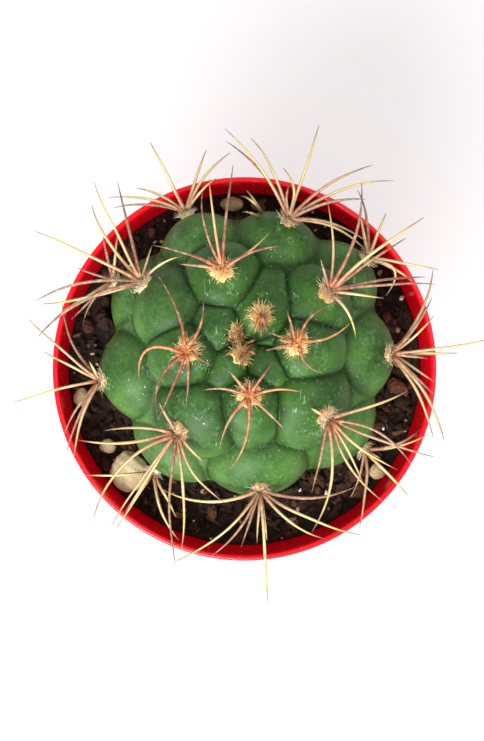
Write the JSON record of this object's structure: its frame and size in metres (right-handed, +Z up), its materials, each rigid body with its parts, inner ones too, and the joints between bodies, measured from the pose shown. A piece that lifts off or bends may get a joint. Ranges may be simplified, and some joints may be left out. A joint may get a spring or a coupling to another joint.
{
  "type": "potted gymnocalycium cactus",
  "caption": "Flattened round chin cactus with pressed tubercles, woolly areoles and long curved spines, growing in soil in a tapered glossy red plastic pot.",
  "frame": {"origin": "middle of the pot's underside, on the ground", "axes": "+Z up along the pot's axis; -Y is the front, the bottom edge of the view from above"},
  "size_m": [0.1207, 0.1202, 0.12],
  "materials": {
    "red_plastic": "glossy moulded plastic",
    "peat_soil": "crumbly dark peat with grit",
    "grit_stone": "dull rounded stone",
    "green_skin": "satin waxy plant skin",
    "spines_and_wool": "dry horny spines and matted wool"
  },
  "bodies": {
    "root": {"pot": "red_plastic", "potting_soil": "peat_soil", "stone_pale": "grit_stone", "stone_golden": "grit_stone", "stone_tan_west": "grit_stone", "stone_tan_east": "grit_stone", "stone_olive_north": "grit_stone", "cactus_body": "green_skin", "spines_crown": "spines_and_wool", "spines_crown_north": "spines_and_wool", "spines_inner_west": "spines_and_wool", "spines_inner_south": "spines_and_wool", "spines_inner_east": "spines_and_wool", "spines_inner_north": "spines_and_wool", "spines_middle_northeast": "spines_and_wool", "spines_middle_southeast": "spines_and_wool", "spines_middle_southwest": "spines_and_wool", "spines_middle_northwest": "spines_and_wool", "spines_outer_north": "spines_and_wool", "spines_outer_northwest": "spines_and_wool", "spines_outer_west": "spines_and_wool", "spines_outer_east": "spines_and_wool", "spines_outer_south": "spines_and_wool", "spines_outer_northeast": "spines_and_wool", "spines_low_southwest": "spines_and_wool", "spines_low_southeast": "spines_and_wool", "spines_low_northwest": "spines_and_wool", "spines_low_north": "spines_and_wool"}
  },
  "joints": []
}
